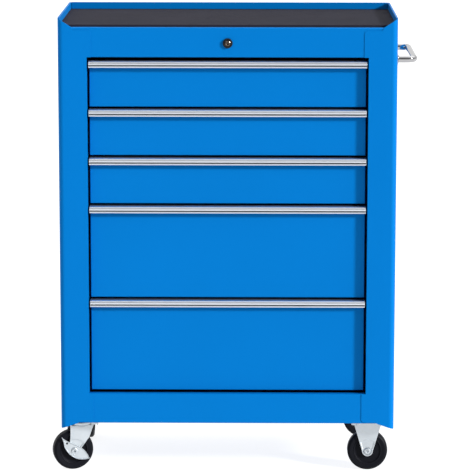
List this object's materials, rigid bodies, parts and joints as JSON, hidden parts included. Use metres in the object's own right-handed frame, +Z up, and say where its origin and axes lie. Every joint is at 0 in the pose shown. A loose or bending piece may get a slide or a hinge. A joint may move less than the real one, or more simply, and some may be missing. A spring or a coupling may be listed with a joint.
{
  "type": "rolling tool chest",
  "caption": "Sheet-steel rolling tool chest with sliding drawers behind aluminium pulls, a matted top tray, a key lock, a side push handle and castors.",
  "frame": {"origin": "on the floor, under the middle of the bounding box", "axes": "+Z up, the drawers open towards -Y, the push handle is on the +X side"},
  "size_m": [0.6748, 0.3346, 0.848],
  "materials": {
    "blue_paint": "satin powder coat",
    "anodised_aluminium": "bright anodised",
    "mat_rubber": "ribbed matt",
    "chrome_tube": "polished",
    "lock_chrome": "satin",
    "black_lacquer": "gloss",
    "zinc_plate": "zinc plated",
    "wheel_rubber": "satin"
  },
  "bodies": {
    "cabinet": {"side_panel_right": "blue_paint", "side_panel_left": "blue_paint", "front_top_rail": "blue_paint", "front_bottom_rail": "blue_paint", "top_panel": "blue_paint", "bottom_panel": "blue_paint", "back_panel": "blue_paint", "tray_mat": "mat_rubber", "lock_barrel": "black_lacquer", "lock_nut": "zinc_plate", "side_handle": "chrome_tube", "slide_rail_1_right": "black_lacquer", "slide_rail_1_left": "black_lacquer", "slide_rail_2_right": "black_lacquer", "slide_rail_2_left": "black_lacquer", "slide_rail_3_right": "black_lacquer", "slide_rail_3_left": "black_lacquer", "slide_rail_4_right": "black_lacquer", "slide_rail_4_left": "black_lacquer", "slide_rail_5_right": "black_lacquer", "slide_rail_5_left": "black_lacquer", "fixed_castor_front_bracket": "zinc_plate", "fixed_castor_front_axle": "zinc_plate", "swivel_castor_front_plate": "zinc_plate", "fixed_castor_rear_bracket": "zinc_plate", "fixed_castor_rear_axle": "zinc_plate", "swivel_castor_rear_plate": "zinc_plate"},
    "drawer_1": {"drawer_1": "blue_paint", "drawer_pull_1": "anodised_aluminium", "slide_runner_1_right": "black_lacquer", "slide_runner_1_left": "black_lacquer"},
    "drawer_2": {"drawer_2": "blue_paint", "drawer_pull_2": "anodised_aluminium", "slide_runner_2_right": "black_lacquer", "slide_runner_2_left": "black_lacquer"},
    "drawer_3": {"drawer_3": "blue_paint", "drawer_pull_3": "anodised_aluminium", "slide_runner_3_right": "black_lacquer", "slide_runner_3_left": "black_lacquer"},
    "drawer_4": {"drawer_4": "blue_paint", "drawer_pull_4": "anodised_aluminium", "slide_runner_4_right": "black_lacquer", "slide_runner_4_left": "black_lacquer"},
    "drawer_5": {"drawer_5": "blue_paint", "drawer_pull_5": "anodised_aluminium", "slide_runner_5_right": "black_lacquer", "slide_runner_5_left": "black_lacquer"},
    "lock_core": {"lock_plug": "lock_chrome", "lock_rod": "zinc_plate"},
    "lock_bar": {"lock_bar": "zinc_plate"},
    "fixed_wheel_front": {"fixed_castor_front_wheel": "wheel_rubber"},
    "swivel_fork_front": {"swivel_castor_front_fork": "zinc_plate", "swivel_castor_front_axle": "zinc_plate"},
    "swivel_wheel_front": {"swivel_castor_front_wheel": "wheel_rubber"},
    "brake_lever_front": {"swivel_castor_front_brake_lever": "zinc_plate"},
    "fixed_wheel_rear": {"fixed_castor_rear_wheel": "wheel_rubber"},
    "swivel_fork_rear": {"swivel_castor_rear_fork": "zinc_plate", "swivel_castor_rear_axle": "zinc_plate"},
    "swivel_wheel_rear": {"swivel_castor_rear_wheel": "wheel_rubber"},
    "brake_lever_rear": {"swivel_castor_rear_brake_lever": "zinc_plate"}
  },
  "joints": [
    {"name": "drawer_1_slide", "type": "slide", "parent": "cabinet", "child": "drawer_1", "axis": [0, -1, 0], "range_m": [0, 0.22]},
    {"name": "drawer_2_slide", "type": "slide", "parent": "cabinet", "child": "drawer_2", "axis": [0, -1, 0], "range_m": [0, 0.22]},
    {"name": "drawer_3_slide", "type": "slide", "parent": "cabinet", "child": "drawer_3", "axis": [0, -1, 0], "range_m": [0, 0.22]},
    {"name": "drawer_4_slide", "type": "slide", "parent": "cabinet", "child": "drawer_4", "axis": [0, -1, 0], "range_m": [0, 0.22]},
    {"name": "drawer_5_slide", "type": "slide", "parent": "cabinet", "child": "drawer_5", "axis": [0, -1, 0], "range_m": [0, 0.22]},
    {"name": "lock_bar_drop", "type": "slide", "parent": "cabinet", "child": "lock_bar", "axis": [0, 0, -1], "range_m": [0, 0.008]},
    {"name": "lock_turn", "type": "hinge", "parent": "cabinet", "child": "lock_core", "pos_m": [-0.01005, -0.16275, 0.803], "axis": [0, 1, 0], "range_deg": [0, 90]},
    {"name": "fixed_wheel_front_spin", "type": "hinge", "parent": "cabinet", "child": "fixed_wheel_front", "pos_m": [0.25095, -0.11775, 0.0375], "axis": [0, 1, 0], "continuous": true},
    {"name": "swivel_front_turn", "type": "hinge", "parent": "cabinet", "child": "swivel_fork_front", "pos_m": [-0.28505, -0.11775, 0.088], "axis": [0, 0, 1], "continuous": true},
    {"name": "swivel_wheel_front_spin", "type": "hinge", "parent": "swivel_fork_front", "child": "swivel_wheel_front", "pos_m": [-0.29954, -0.12163, 0.0375], "axis": [-0.2588, 0.9659, 0], "continuous": true},
    {"name": "brake_lever_front_press", "type": "hinge", "parent": "swivel_fork_front", "child": "brake_lever_front", "pos_m": [-0.29954, -0.12163, 0.0375], "axis": [0.2588, -0.9659, 0], "range_deg": [0, 12]},
    {"name": "fixed_wheel_rear_spin", "type": "hinge", "parent": "cabinet", "child": "fixed_wheel_rear", "pos_m": [0.25095, 0.13225, 0.0375], "axis": [0, 1, 0], "continuous": true},
    {"name": "swivel_rear_turn", "type": "hinge", "parent": "cabinet", "child": "swivel_fork_rear", "pos_m": [-0.28505, 0.13225, 0.088], "axis": [0, 0, 1], "continuous": true},
    {"name": "swivel_wheel_rear_spin", "type": "hinge", "parent": "swivel_fork_rear", "child": "swivel_wheel_rear", "pos_m": [-0.28505, 0.11725, 0.0375], "axis": [-1, 0, 0], "continuous": true},
    {"name": "brake_lever_rear_press", "type": "hinge", "parent": "swivel_fork_rear", "child": "brake_lever_rear", "pos_m": [-0.28505, 0.11725, 0.0375], "axis": [1, 0, 0], "range_deg": [0, 12]}
  ],
  "couplings": [
    {"joint": "lock_turn", "follows": "lock_bar_drop", "rad_per_m": 196.35}
  ]
}
